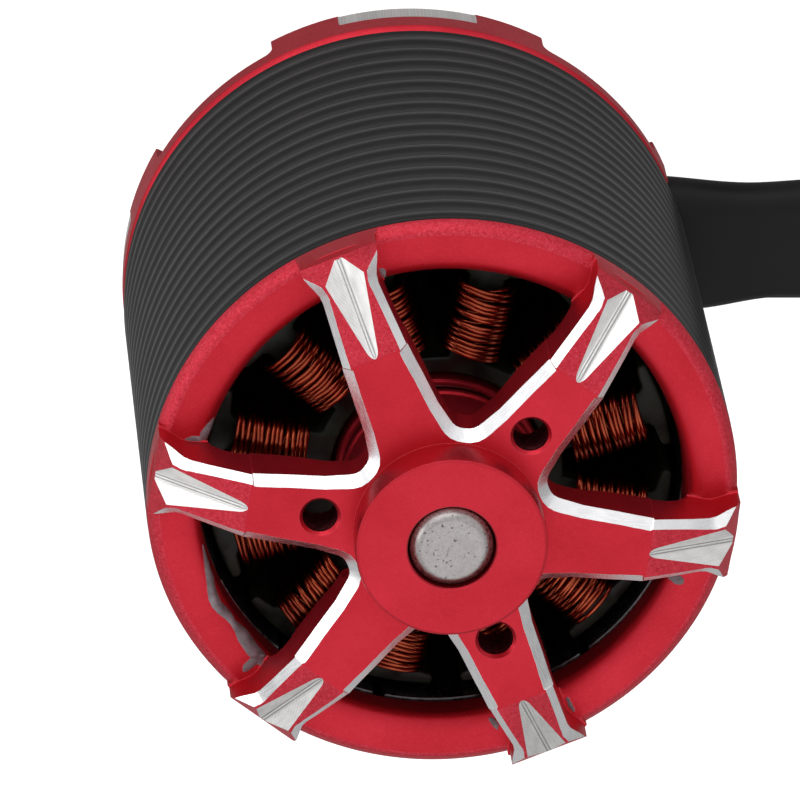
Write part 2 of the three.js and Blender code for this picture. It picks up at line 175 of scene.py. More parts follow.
def build_red(n, out):
    """Fine-grained red anodising, with a painted highlight along the edges."""
    at = n.coords()
    grain = n.noise(at, 9000, 2.0, 0.6)
    coarse = n.noise(at, 3200, 3.0, 0.65)
    cloud = n.noise(at, 160, 3.0)
    tone = n.mix(n.spread(cloud), (0.50, 0.015, 0.028), (0.60, 0.023, 0.042))
    tone = n.mix(n.ramp(grain, 0.55, 0.8, 0.0, 0.35), tone, (0.75, 0.08, 0.11))
    # Painted highlight: the tone turns paler along convex and concave edges.
    edge = n.edge_highlight_mask(0.07)
    tone = n.mix(n.math("MULTIPLY", edge, 0.35), tone, (0.85, 0.22, 0.25))
    n.surface(out, tone, n.spread(coarse, 0.34, 0.46),
              n.bump(grain, 0.35, 0.00002, n.soft_edges(0.05)))


def build_red_blasted(n, out):
    """Coarser, sparkling red anodising."""
    at = n.coords()
    grain = n.noise(at, 8500, 3.0, 0.7)
    pits = n.noise(at, 3800, 2.0, 0.6)
    tone = n.mix(n.spread(pits), (0.50, 0.014, 0.030), (0.66, 0.036, 0.064))
    tone = n.mix(n.ramp(grain, 0.54, 0.72, 0.0, 0.45), tone, (0.90, 0.20, 0.24))
    n.surface(out, tone, n.spread(grain, 0.36, 0.52),
              n.bump(grain, 0.8, 0.00004, n.soft_edges(0.06)))


def build_cut_silver(n, out):
    """Bright bare metal with fine lines along the cut."""
    along = n.coords((0.10, 1, 1), "UV")
    lines = n.noise(along, 11, 3.0, 0.6)
    patch = n.noise(n.coords((0.7, 1, 1), "UV"), 1.3, 3.0, 0.55)
    tone = n.mix(n.spread(lines), (0.84, 0.84, 0.86), (0.95, 0.95, 0.96))
    tone = n.mix(n.ramp(patch, 0.5, 0.8, 0.0, 0.35), tone, (0.70, 0.70, 0.73))
    n.surface(out, tone, n.spread(lines, 0.20, 0.32),
              n.bump(lines, 0.03, 0.00001, n.soft_edges(0.05)))


def build_kite_silver(n, out):
    """Bare metal with the slanting marks of a milling cutter."""
    passes = n.add("ShaderNodeTexWave", {
        "Vector": n.coords((1, 1, 1), "UV", (0, 0, rad(64))), "Scale": 1.9, "Distortion": 0.8,
        "Detail": 1.0}, wave_type="BANDS", bands_direction="X").outputs["Fac"]
    lines = n.noise(n.coords((0.08, 1, 1), "UV"), 9, 3.0, 0.6)
    cloud = n.noise(n.coords((0.6, 1, 1), "UV"), 1.6, 3.0, 0.5)
    tone = n.mix(n.spread(lines), (0.82, 0.81, 0.80), (0.95, 0.94, 0.93))
    hatch = n.math("MULTIPLY", passes, n.ramp(cloud, 0.40, 0.62, 0.06, 0.42))
    tone = n.mix(hatch, tone, (0.52, 0.51, 0.50))
    tone = n.mix(n.ramp(cloud, 0.5, 0.8, 0.0, 0.4), tone, (0.74, 0.72, 0.70))
    n.surface(out, tone, n.spread(lines, 0.34, 0.46),
              n.bump(passes, 0.06, 0.00001, n.soft_edges(0.04)))


# Darker bare metal for the faces beside the groove's rib: painted shade.
def build_groove_shade(n, out):
    lines = n.noise(n.coords((0.08, 1, 1), "UV"), 9, 3.0, 0.6)
    tone = n.mix(n.spread(lines), (0.36, 0.35, 0.35), (0.52, 0.51, 0.51))
    n.surface(out, tone, n.spread(lines, 0.34, 0.46),
              n.bump(lines, 0.05, 0.00001, n.soft_edges(0.04)))


def build_grained(scale, dark, light, roughness, depth, soft_mm):
    """A dark metal with one fine grain; depth is the bump's strength and distance."""
    def build(n, out):
        grain = n.noise(n.coords(), scale, 3.0, 0.6)
        tone = n.mix(n.ramp(grain, 0.35, 0.7), dark, light)
        n.surface(out, tone, n.spread(grain, *roughness),
                  n.bump(grain, *depth, n.soft_edges(soft_mm)))
    return build


def build_adhesive(n, out):
    """Dried grey adhesive, shiny in places."""
    cloud = n.noise(n.coords(), 900, 4.0, 0.6)
    fine = n.noise(n.coords(), 3500, 3.0, 0.6)
    tone = n.mix(n.spread(cloud), (0.085, 0.055, 0.062), (0.24, 0.20, 0.22))
    n.surface(out, tone, n.spread(fine, 0.22, 0.5), n.bump(cloud, 0.5, 0.0001))


def build_can(n, out):
    """Satin black, with a painted highlight in lighter grey on the crests of the ridges."""
    at = n.coords((1, 1, 14))
    turned = n.noise(at, 700, 3.0, 0.6)
    speck = n.noise(n.coords(), 5000, 2.0)
    cloud = n.noise(n.coords(), 90, 3.0)
    phase = n.math("MULTIPLY", n.math("SUBTRACT", n.add("ShaderNodeSeparateXYZ", {
        0: n.coords()}).outputs[2], RIDGE_FIRST_Z * MM), TAU / (RIDGE_PITCH * MM))
    # Painted highlight: the tone is lighter on the crest of every ridge.
    crest_highlight = n.ramp(n.math("COSINE", phase), 0.60, 1.0)
    tone = n.mix(n.spread(turned), (0.0035, 0.0032, 0.0035), (0.009, 0.0085, 0.009))
    tone = n.mix(n.math("MULTIPLY", crest_highlight, 0.75), tone, (0.052, 0.049, 0.051))
    tone = n.mix(n.ramp(speck, 0.66, 0.78, 0.0, 0.2), tone, (0.08, 0.08, 0.08))
    n.surface(out, tone, n.spread(cloud, 0.27, 0.36),
              n.bump(turned, 0.2, 0.00001, n.soft_edges(0.05)))


def build_steel(n, out):
    """Dull ground steel with small pits."""
    speck = n.noise(n.coords(), 5200, 3.0, 0.65)
    stain = n.noise(n.coords(), 500, 3.0, 0.6)
    pits = n.noise(n.coords(), 3600, 1.0, 0.4)
    tone = n.mix(n.ramp(speck, 0.35, 0.65), (0.34, 0.315, 0.31), (0.46, 0.435, 0.43))
    tone = n.mix(n.ramp(stain, 0.45, 0.7, 0.0, 0.35), tone, (0.33, 0.30, 0.29))
    tone = n.mix(n.ramp(pits, 0.655, 0.72, 0.0, 0.85), tone, (0.10, 0.09, 0.085))
    n.surface(out, tone, n.spread(speck, 0.24, 0.42),
              n.bump(speck, 0.25, 0.00002, n.soft_edges(0.05)))


def build_bright_steel(n, out):
    rings = n.noise(n.coords(), 1800, 3.0, 0.6)
    tone = n.mix(n.spread(rings), (0.62, 0.63, 0.64), (0.80, 0.81, 0.82))
    n.surface(out, tone, n.spread(rings, 0.12, 0.24), n.soft_edges(0.05))


def build_copper(n, out):
    """Dark enamelled copper wire."""
    tint = n.noise(n.coords(), 420, 2.0)
    fine = n.noise(n.coords(), 2600, 2.0)
    tone = n.mix(n.spread(tint), (0.20, 0.032, 0.014), (0.42, 0.085, 0.034))
    tone = n.mix(n.ramp(fine, 0.6, 0.75, 0.0, 0.5), tone, (0.10, 0.016, 0.008))
    n.surface(out, tone, n.spread(fine, 0.18, 0.30), n.bump(fine, 0.15, 0.00001))


def build_coating(n, out):
    """The greenish black coating of the stator core."""
    cloud = n.noise(n.coords(), 500, 3.0, 0.6)
    ripple = n.noise(n.coords(), 1500, 2.0)
    tone = n.mix(n.ramp(cloud, 0.35, 0.7), (0.005, 0.006, 0.005), (0.022, 0.027, 0.017))
    n.surface(out, tone, n.spread(cloud, 0.34, 0.52),
              n.bump(ripple, 0.3, 0.00003, n.soft_edges(0.15)))


def build_plastic(dark, light, roughness, wrinkle):
    """Rubber or heat-shrink with soft wrinkles."""
    def build(n, out):
        cloud = n.noise(n.coords((0.4, 1, 1)), 300, 3.0, 0.55)
        fine = n.noise(n.coords(), 4200, 3.0, 0.6)
        n.surface(out, n.mix(n.spread(cloud), dark, light),
                  n.spread(cloud, *roughness),
                  n.bump(fine, 0.12, 0.00002, n.bump(cloud, wrinkle, 0.0001)))
    return build


def build_gold(n, out):
    fine = n.noise(n.coords((6, 1, 1)), 1200, 3.0, 0.6)
    tone = n.mix(n.spread(fine), (0.78, 0.50, 0.16), (0.95, 0.70, 0.30))
    n.surface(out, tone, n.spread(fine, 0.14, 0.28), n.soft_edges(0.06))


RED_MAT = material("red_anodised", RED, 0.82, 0.4, build_red)
BLASTED_MAT = material("red_blasted", RED, 0.72, 0.45, build_red_blasted)
CUT_MAT = material("machined_edge", (0.9, 0.9, 0.91), 1.0, 0.2, build_cut_silver)
KITE_MAT = material("machined_groove", (0.9, 0.9, 0.91), 1.0, 0.2, build_kite_silver)
# The groove's darker lines beside its rib are painted shade.
GROOVE_SHADE_MAT = material("groove_painted_shade", (0.5, 0.5, 0.5), 1.0, 0.4, build_groove_shade)
# The threads' near-black red is painted shade in the tapped holes.
THREAD_SHADE_MAT = material("thread_painted_shade", (0.08, 0.006, 0.01), 0.6, 0.45, build_grained(
    3000, (0.030, 0.003, 0.005), (0.12, 0.008, 0.014), (0.35, 0.5), (0.2, 0.00001), 0.05))
ADHESIVE_MAT = material("adhesive", (0.16, 0.13, 0.14), 0.0, 0.35, build_adhesive)
CAN_MAT = material("black_can", (0.012, 0.012, 0.0125), 0.0, 0.3, build_can, IOR=1.42)
SHAFT_MAT = material("ground_steel", (0.6, 0.6, 0.58), 1.0, 0.3, build_steel)
BEARING_MAT = material("bearing_steel", (0.72, 0.73, 0.74), 1.0, 0.18, build_bright_steel)
COPPER_MAT = material("copper_wire", (0.45, 0.12, 0.04), 1.0, 0.25, build_copper,
                      Coat_Weight=0.2, Coat_Roughness=0.15)
CORE_MAT = material("core_coating", (0.02, 0.022, 0.016), 0.0, 0.3, build_coating,
                    IOR=1.35)
MAGNET_MAT = material("magnet", (0.2, 0.2, 0.21), 1.0, 0.35, build_grained(
    2500, (0.10, 0.10, 0.11), (0.26, 0.26, 0.27), (0.25, 0.42), (0.15, 0.00001), 0.1))
OXIDE_MAT = material("black_oxide", (0.03, 0.03, 0.032), 0.6, 0.42, build_grained(
    3500, (0.014, 0.014, 0.015), (0.045, 0.045, 0.048), (0.35, 0.5), (0.2, 0.00002), 0.06))
BRASS_MAT = material("cage_brass", (0.7, 0.45, 0.15), 1.0, 0.25, build_gold)
GOLD_MAT = material("gold_plate", (0.9, 0.62, 0.22), 1.0, 0.2, build_gold)
SLEEVE_MAT = material("sleeve_black", (0.012, 0.012, 0.014), 0.0, 0.45, build_plastic(
    (0.004, 0.0032, 0.004), (0.009, 0.008, 0.009), (0.36, 0.50), 0.25), IOR=1.27)
WIRE_MAT = material("silicone_black", (0.015, 0.015, 0.017), 0.0, 0.5, build_plastic(
    (0.010, 0.010, 0.012), (0.024, 0.024, 0.027), (0.45, 0.6), 0.10), Sheen_Weight=0.15)
SHRINK_MAT = material("shrink_black", (0.014, 0.014, 0.016), 0.0, 0.45, build_plastic(
    (0.009, 0.009, 0.011), (0.022, 0.022, 0.024), (0.38, 0.5), 0.3))

# ---- mesh helpers ----


def table(pairs, x):
    """The value at x, on straight lines between the pairs."""
    if x <= pairs[0][0]:
        return pairs[0][1]
    for (x0, y0), (x1, y1) in zip(pairs, pairs[1:]):
        if x <= x1:
            return y0 + (y1 - y0) * (x - x0) / (x1 - x0)
    return pairs[-1][1]


def step(x, low, high):
    """Rises smoothly from 0 at low to 1 at high."""
    u = min(1.0, max(0.0, (x - low) / (high - low)))
    return u * u * (3 - 2 * u)


def smooth_table(pairs, x):
    """Like table, but eased between the pairs, so that the curve has no kinks."""
    for (x0, y0), (x1, y1) in zip(pairs, pairs[1:]):
        if x <= x1:
            return y0 + (y1 - y0) * step(x, x0, x1)
    return pairs[-1][1]


def new_object(name, verts, faces, mats, face_mats=None):
    """An object in millimetres; finish_piece scales it."""
    mesh = bpy.data.meshes.new(name)
    mesh.from_pydata([tuple(v) for v in verts], [], faces)
    for mat in mats:
        mesh.materials.append(mat)
    if face_mats:
        mesh.polygons.foreach_set("material_index", face_mats)
    mesh.update()
    obj = bpy.data.objects.new(name, mesh)
    scene.collection.objects.link(obj)
    return obj


def finish_piece(obj, body, node, sharp=32):
    """Scales a piece to metres, sets its shading and hands it to the frame."""
    mesh = obj.data
    mesh.transform(Matrix.Scale(MM, 4))
    mesh.polygons.foreach_set("use_smooth", [True] * len(mesh.polygons))
    mesh.set_sharp_from_angle(angle=rad(sharp))
    mesh.update()
    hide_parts(node)
    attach(obj, body)
    return obj


def tidy(obj):
    """Merges doubled vertices and turns the faces outwards."""
    bm = bmesh.new()
    bm.from_mesh(obj.data)
    bmesh.ops.remove_doubles(bm, verts=bm.verts, dist=1e-5)
    bmesh.ops.dissolve_degenerate(bm, edges=bm.edges, dist=1e-6)
    bmesh.ops.recalc_face_normals(bm, faces=bm.faces)
    bm.to_mesh(obj.data)
    bm.free()
    obj.data.update()
    return obj


def quads(rows, columns, join_rows=True, join_columns=True):
    """The faces between rows of points; the last row or column can join on to the first."""
    faces = []
    for i in range(rows if join_rows else rows - 1):
        j = (i + 1) % rows
        for k in range(columns if join_columns else columns - 1):
            m = (k + 1) % columns
            faces.append((i * columns + k, i * columns + m, j * columns + m, j * columns + k))
    return faces


def flipped(faces):
    return [(a, d, c, b) for a, b, c, d in faces]


def lathe(name, profile, segments, mats, bands=None, uneven=None):
    """Turns [radius, z] pairs about Z. A profile that starts on the axis also ends there.
    bands gives each profile edge a material index, and uneven a change of radius by angle and
    height."""
    verts = []
    for i in range(segments):
        a = TAU * i / segments
        for r, z in profile:
            r += uneven(a, z) if uneven else 0.0
            verts.append((r * math.cos(a), r * math.sin(a), z))
    faces = flipped(quads(segments, len(profile), join_columns=profile[0][0] > 0))
    return tidy(new_object(name, verts, faces, mats, bands * segments if bands else None))


def stack(name, rings, mats, face_mats=None, loop=False):
    """Joins rings of equal length, and closes the ends or, for a loop, joins them too.
    face_mats gives the material of a step and side."""
    n = len(rings[0])
    faces = quads(len(rings), n, join_rows=loop)
    used = [face_mats(i // n, i % n) if face_mats else 0 for i in range(len(faces))]
    if not loop:
        last = (len(rings) - 1) * n
        faces += [tuple(reversed(range(n))), tuple(range(last, last + n))]
        used += [0, 0]
    return tidy(new_object(name, [p for ring in rings for p in ring], faces, mats, used))


def pipe(name, inner, outer, z0, z1, segments, mats):
    """A plain ring, or a disc where inner is 0."""
    return lathe(name, [(inner, z0), (outer, z0), (outer, z1), (inner, z1)], segments, mats)


def apply_modifier(obj):
    graph = bpy.context.evaluated_depsgraph_get()
    mesh = bpy.data.meshes.new_from_object(obj.evaluated_get(graph))
    obj.modifiers.clear()
    obj.data = mesh
    return obj


def boolean(target, tool, operation="DIFFERENCE"):
    """Cuts or joins the tool, which is used up."""
    mod = target.modifiers.new("cut", "BOOLEAN")
    mod.operation = operation
    mod.solver = "MANIFOLD"
    mod.object = tool
    mod.material_mode = "TRANSFER"
    apply_modifier(target)
    bpy.data.objects.remove(tool)
    return target


def bevel(obj, width, segments=2, angle=40):
    mod = obj.modifiers.new("bevel", "BEVEL")
    mod.width = width
    mod.segments = segments
    mod.limit_method = "ANGLE"
    mod.angle_limit = rad(angle)
    mod.use_clamp_overlap = True
    return apply_modifier(obj)


def lay_along_x(obj, at, turn=0.0):
    """Lays an upright part along +X with its foot at a point, then turns it about Z."""
    obj.data.transform(Matrix.Rotation(turn, 4, "Z") @ Matrix.Translation(at)
                       @ Matrix.Rotation(math.pi / 2, 4, "Y"))
    return obj


def turned(obj, angle):
    obj.data.transform(Matrix.Rotation(angle, 4, "Z"))
    return obj


def moved(obj, at):
    obj.data.transform(Matrix.Translation((at.x, at.y, 0)))
    return obj


def polar(r, a):
    return Vector((r * math.cos(a), r * math.sin(a)))


def arc(r, start, end, steps):
    return [polar(r, start + (end - start) * i / steps) for i in range(steps + 1)]


def sector(outer, inner, middle, half, steps):
    """The outline of a part of a ring; steps are those of its outer and inner arc."""
    return (arc(outer, middle - half, middle + half, steps[0])
            + arc(inner, middle + half, middle - half, steps[1]))


def prism(name, outline, z0, z1, mats):
    return stack(name, [[(p[0], p[1], z) for p in outline] for z in (z0, z1)], mats)


def join(name, parts, mats):
    """One mesh from many (verts, faces, material index) lists."""
    verts, faces, used = [], [], []
    for pv, pf, m in parts:
        base = len(verts)
        verts += pv
        faces += [tuple(i + base for i in f) for f in pf]
        used += [m] * len(pf)
    return new_object(name, verts, faces, mats, used)


def wire_loop(points, radius, sides):
    """Vertices and faces of a round wire along a closed path."""
    verts = []
    normal = None
    for i, p in enumerate(points):
        d = points[(i + 1) % len(points)] - points[i - 1]
        d.normalize()
        if normal is None:
            normal = d.orthogonal()
        normal = (normal - d * normal.dot(d)).normalized()
        side = d.cross(normal)
        for k in range(sides):
            a = TAU * k / sides
            verts.append(tuple(p + radius * (math.cos(a) * normal + math.sin(a) * side)))
    return verts, quads(len(points), sides)


def sphere(centre, radius, rings=10, segments=16):
    verts = []
    for i in range(rings + 1):
        a = math.pi * i / rings
        for k in range(segments):
            b = TAU * k / segments
            verts.append((centre[0] + radius * math.sin(a) * math.cos(b),
                          centre[1] + radius * math.sin(a) * math.sin(b),
                          centre[2] + radius * math.cos(a)))
    return verts, flipped(quads(rings + 1, segments, join_rows=False))


# ---- leads: the cords ----
LEAD_R, LEAD_PITCH, LEAD_Y = 1.3, 2.9, 3.1
LEAD_START_X, LEAD_END_X = 17.6, 98.0
SLEEVE_X, SLEEVE_Z = (17.4, 46.0), 2.2
CONNECTOR_PITCH = 6.2
# How far the sleeve's two edges stand outside its half width, by distance along X.
SLEEVE_HALF_W = 4.40
SLEEVE_ABOVE = [(17.4, 0.82), (25.3, 0.25), (31.0, 0.56), (46.0, 0.02)]
SLEEVE_BELOW = [(17.4, 0.85), (21.0, 0.85), (27.9, -0.12), (46.0, 0.02)]


def lead_points(i):
    offset, spread = (i - 1) * LEAD_PITCH, (i - 1) * CONNECTOR_PITCH
    return [
        (LEAD_START_X, LEAD_Y + offset, SLEEVE_Z),
        (32, LEAD_Y + offset, SLEEVE_Z),
        (SLEEVE_X[1], LEAD_Y + offset, SLEEVE_Z),
        (52, LEAD_Y + 0.8 * offset + 0.2 * spread, 1.9),
        (66, LEAD_Y + 0.3 * offset + 0.7 * spread, 1.4),
        (80, LEAD_Y + spread, 1.7),
        (88, LEAD_Y + spread, 2.4),
        (LEAD_END_X, LEAD_Y + spread, 2.5),
    ]


def blend(a, b, from_t, to_t, t):
    """The value at t on the line from a at from_t to b at to_t."""
    return a * ((to_t - t) / (to_t - from_t)) + b * ((t - from_t) / (to_t - from_t))


def smooth_path(points, per_span):
    """A centripetal curve through the points."""
    p = [Vector(q) for q in points]
    p = [2 * p[0] - p[1]] + p + [2 * p[-1] - p[-2]]
    out = []
    for i in range(1, len(p) - 2):
        t = [0.0]
        for a, b in zip(p[i - 1:i + 2], p[i:i + 3]):
            t.append(t[-1] + math.sqrt((b - a).length))
        for k in range(per_span):
            u = t[1] + (t[2] - t[1]) * k / per_span
            a1 = blend(p[i - 1], p[i], t[0], t[1], u)
            a2 = blend(p[i], p[i + 1], t[1], t[2], u)
            a3 = blend(p[i + 1], p[i + 2], t[2], t[3], u)
            b1 = blend(a1, a2, t[0], t[2], u)
            b2 = blend(a2, a3, t[1], t[3], u)
            out.append(blend(b1, b2, t[1], t[2], u))
    out.append(p[-2])
    return out


def bullet_connector(name, at):
    plug = lathe(name, [
        (0.0, 0.3), (1.75, 0.3), (1.9, 0.5), (1.9, 6.8), (1.75, 7.0), (1.6, 7.3), (1.6, 8.0),
        (1.66, 8.6), (1.75, 9.6), (1.82, 11.0), (1.84, 12.4), (1.8, 13.8), (1.7, 15.0),
        (1.45, 16.2), (1.15, 17.2), (1.0, 17.45), (0.0, 17.5)], 40, [GOLD_MAT])
    for k in range(2):
        slot = prism("slot", [(-3, -0.16), (3, -0.16), (3, 0.16), (-3, 0.16)], 8.2, 15.6,
                     [GOLD_MAT])
        boolean(plug, turned(slot, k * math.pi / 2 + 0.4))
    return lay_along_x(plug, at)


def connector_shrink(name, at, seed):
    rng = random.Random(seed)
    profile = [
        (1.60, -4.5), (1.66, -4.56), (1.86, -4.5), (1.90, -4.3), (1.88, -3.2), (1.96, -2.4),
        (2.16, -1.5), (2.34, -0.7), (2.43, 0.2), (2.40, 2.0), (2.44, 4.0), (2.41, 5.6),
        (2.45, 6.5), (2.38, 6.6), (2.16, 6.58), (2.14, 6.0), (2.14, 0.0), (1.66, -1.6)]

    def uneven(a, z):
        return 0.012 * math.sin(3 * a + z) + rng.uniform(-0.004, 0.004)
    return lay_along_x(lathe(name, profile, 36, [SHRINK_MAT], uneven=uneven), at)


def sleeve_ring(x, y, half_w, half_h, dent=0.0):
    """The section of the flat sleeve round y; dent pulls it in between the three leads."""
    points = []
    flat = half_w - half_h
    for side in (1, -1):
        for i in range(11):
            a = side * math.pi / 2 - math.pi * i / 10
            points.append((side * flat + half_h * math.cos(a), half_h * math.sin(a)))
        for i in range(1, 12):
            across = side * flat - 2 * side * flat * i / 12
            dip = dent * (0.5 - 0.5 * math.cos(TAU * across / LEAD_PITCH))
            points.append((across, -side * (half_h - dip)))
    return [(x, y + across, SLEEVE_Z + up) for across, up in points]


def lead_sleeve():
    start, end = SLEEVE_X
    rings = []
    for i in range(41):
        x = start + (end - start) * (i / 40)
        above, below = smooth_table(SLEEVE_ABOVE, x), smooth_table(SLEEVE_BELOW, x)
        half_h = 1.79 + 0.10 * max(0.0, 1 - (x - start) / 11)
        grip = min(1.0, max(0.0, (x - 26) / 16))
        rings.append(sleeve_ring(x, LEAD_Y + (above - below) / 2,
                                 SLEEVE_HALF_W + (above + below) / 2, half_h, 0.22 * grip))
    rings.append(sleeve_ring(end + 0.02, LEAD_Y, 4.42, 1.55, 0.1))
    rings += [sleeve_ring(x, LEAD_Y, 4.36, 1.5, 0.1) for x in (end - 1.0, start + 1.0)]
    rings.append(sleeve_ring(start - 0.02, LEAD_Y, 4.45, 1.55))
    return stack("sleeve", rings, [SLEEVE_MAT], loop=True)


def add_lead(i, key):
    """One lead: its cord, and the connector and shrink on its far end."""
    end = (LEAD_END_X, LEAD_Y + (i - 1) * CONNECTOR_PITCH, 2.5)
    plug = finish_piece(bullet_connector("bullet_" + key, end), "stator",
                        "bullet_connector_" + key)
    shrink = finish_piece(connector_shrink("shrink_" + key, end, i), "stator",
                          "connector_shrink_" + key, 50)
    curve = bpy.data.curves.new("cord_" + key, "CURVE")
    curve.dimensions = "3D"
    curve.bevel_depth = LEAD_R * MM
    curve.bevel_resolution = 6
    curve.use_fill_caps = True
    route = smooth_path(lead_points(i), 4)
    spline = curve.splines.new("POLY")
    spline.points.add(len(route) - 1)
    for point, p in zip(spline.points, route):
        point.co = (p.x * MM, p.y * MM, p.z * MM, 1)
        point.radius = 1.0
    spline.use_smooth = True
    curve.materials.append(WIRE_MAT)
    cord = bpy.data.objects.new("cord_" + key, curve)
    scene.collection.objects.link(cord)
    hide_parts("lead_" + key)
    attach(cord, "stator")


sleeve_piece = finish_piece(lead_sleeve(), "stator", "lead_sleeve", 50)
for i, key in enumerate("abc"):
    add_lead(i, key)

# ---- bell ----
SPOKES, SPOKE_PHASE = 6, rad(-7)
TAPPED_SPOKES, HOLE_CIRCLE_R = (1, 3, 5), 9.16
GRUB_ANGLES, GRUB_AT = (rad(203), rad(323)), (0, 0, 44.4)
BELL_R = 20.97
TOP_Z, RING_Z = 47.0, 41.1
# A spoke's top is flat up to FLAT_END from the axis. Then it slopes down to the rim.
FLAT_END, SPOKE_END = 14.3, 22.6
SLOPE = [(0.0, TOP_Z), (FLAT_END, TOP_Z), (19.75, 44.6), (20.78, 42.75), (20.9, 42.2),
         (SPOKE_END, RING_Z)]
# The face that the chamfers are cut from runs on past the end bevel.
CHAMFER_FACE = [(0.0, TOP_Z), (FLAT_END, TOP_Z), (SPOKE_END, 43.345)]
# Half width of a spoke at the lower edge of its chamfer, by distance from the axis.
SIDE = [(9.2, 2.80), (10.4, 2.72), (11.7, 2.64), (13.0, 2.53), (14.28, 2.45), (14.32, 2.38),
        (15.2, 2.32), (17.2, 2.17), (18.5, 2.08), (19.0, 2.14), (19.4, 2.32), (19.75, 2.50),
        (20.2, 2.70), (20.55, 2.82), (21.3, 2.95), (23.5, 3.15)]
# Width and drop of a spoke's chamfer, by distance from the axis.
CHAMFER_W = [(7.6, 0.74), (9.0, 0.68), (11.5, 0.68), (14.28, 0.72), (14.32, 0.50), (17.2, 0.50),
             (18.5, 0.54), (19.0, 0.72), (19.75, 0.98), (20.5, 1.05)]
CHAMFER_H = [(7.6, 0.80), (13.0, 0.70), (14.28, 0.66), (14.32, 0.56), (17.2, 0.62), (18.5, 0.74),
             (19.75, 0.88), (20.5, 0.92)]
# Further places along a spoke where its sides need a point for the foot and the chamfer.
SIDE_STOPS = [14.0, 16.2, 16.7, 17.7, 18.1, 18.8, 19.2, 19.6, 19.9, 20.05, 20.35, 20.5, 20.6,
              20.9, 22.2]
# The rounded inner edge of the ring, as radius and height.
RING_ROUND = [(18.05, RING_Z), (17.76, 41.0), (17.5, 40.84), (17.3, 40.6), (17.2, 40.3)]
# The hub corner of a window, from its middle, as distance out and sideways.
CORNER = [(7.60, 0.0), (7.62, 0.35), (7.72, 0.66), (7.92, 0.93), (8.2, 1.19), (8.6, 1.52)]


def window_path():
    """The right half of a window's wall, from its middle at the hub out past the rim, with
    the direction into the metal. The window points along +X."""
    half = math.pi / SPOKES
    points = [Vector((x, -y)) for x, y in CORNER]
    for s in sorted({s for s, _ in SIDE} | set(SIDE_STOPS)):
        t = table(SIDE, s)
        points.append(Vector((s * math.cos(half) + t * math.sin(half),
                              -s * math.sin(half) + t * math.cos(half))))
    normals = []
    for i, p in enumerate(points):
        d = (points[min(i + 1, len(points) - 1)] - points[max(i - 1, 0)]).normalized()
        normals.append(Vector((d.y, -d.x)) if i else Vector((-1, 0)))
    return points, normals


def spoke_place(p):
    """Distance along the nearest spoke, for a point of a window along +X."""
    half = math.pi / SPOKES
    return p.x * math.cos(half) + abs(p.y) * math.sin(half)


def window_cutter():
    """A window with a rounded foot at the ring and the spokes' chamfers round its top."""
    path = list(zip(*window_path()))
    across = [(Vector((p.x, -p.y)), Vector((n.x, -n.y))) for p, n in path[1:]]
    path = path[::-1] + across
    outside = [(Vector((26, y)), Vector((0, 0))) for y in (9, -9)]

    def ring(offset, height):
        """One level of the cutter; offset and height go by the place along a spoke."""
        points = []
        for p, n in path + outside:
            s = spoke_place(p)
            q = p + n * offset(s)
            points.append((q.x, q.y, height(s)))
        return points

    def foot(s):
        return 0.05 + 0.12 * step(s, 16.6, 18.4)

    def edge_z(s):
        return table(CHAMFER_FACE, s) - table(CHAMFER_H, s)

    def foot_round(a):
        return ring(lambda s: -foot(s) * (1 - math.sin(a)), lambda s: RING_Z + min(
            foot(s), edge_z(s) - RING_Z - 0.1) * (1 - math.cos(a)))

    # The chamfer's cut goes on above the spoke's face by half of its width.
    grow = 1.5
    rings = [ring(lambda s: -foot(s), lambda s, z=z: z) for z in (37.5, RING_Z)]
    rings += [foot_round(rad(a)) for a in (22.5, 45, 67.5, 90)]
    rings += [ring(lambda s: 0.0, edge_z),
              ring(lambda s: table(CHAMFER_W, s) * grow, lambda s: edge_z(s) + (
                  table(CHAMFER_FACE, s) - edge_z(s)) * grow),
              ring(lambda s: table(CHAMFER_W, s) * grow, lambda s: 53.0)]
    chamfer_step = len(rings) - 3

    def face_mat(i, k):
        return 1 if i == chamfer_step and k < len(path) else 0
    return stack("window", rings, [RED_MAT, CUT_MAT], face_mat)


def spoke_blank():
    profile = [(0.0, 43.8), (8.2, 43.8), (9.5, 43.5), (11.0, 43.15), (12.8, 42.93), (14.6, 42.9),
               (15.4, 42.78), (16.2, 42.4), (16.9, 41.7), (17.5, 40.3), (SPOKE_END, 40.3)]
    profile += SLOPE[::-1]

    def face_mat(_, k):
        """The slope towards the rim is blasted more coarsely than the rest."""
        s, z = profile[k]
        return 1 if s > 19 and z > 42.5 else 0
    sides = [[(s, t, z) for s, z in profile] for t in (-3.9, 3.9)]
    return stack("spoke", sides, [RED_MAT, BLASTED_MAT], face_mat)


def kite_cutter():
    """The machined groove: a floor with a fine rib between two flanks."""
    section = [(-3.2, 2.73), (-0.50, 0.20), (-0.45, 0.15), (-0.30, 0.02), (-0.18, -0.01),
               (-0.07, 0.0), (-0.035, 0.045), (0.02, 0.045), (0.055, 0.0), (0.15, -0.005),
               (0.18, 0.03), (0.22, 0.03), (0.25, 0.0), (0.31, 0.03), (0.42, 0.125),
               (0.50, 0.20), (3.2, 2.73)]
    wide = section[-1][0]
    fall, tip = -0.638, 0.55

    def row(s, squeeze, rib):
        """The section at s, with its width and its rib scaled."""
        floor = TOP_Z + fall * (s - FLAT_END)
        points = [(s, t * squeeze, floor + (h if abs(t) > 0.3 else rib * h))
                  for t, h in section]
        return points + [(s, wide * squeeze, 54.0), (s, -wide * squeeze, 54.0)]

    rows = [row(FLAT_END + tip * (1 - math.cos(rad(a))), math.sin(rad(a)), 0.0)
            for a in (8, 22, 38, 56, 74)]
    rows += [row(FLAT_END + tip, 1.0, 0.3), row(15.4, 1.0, 1), row(SPOKE_END, 1.0, 1)]

    def face_mat(_, k):
        """Both sides of the rib get a darker material: painted shade."""
        return 1 if k in (4, 8) else 0
    return stack("kite", rows, [KITE_MAT, GROOVE_SHADE_MAT], face_mat)


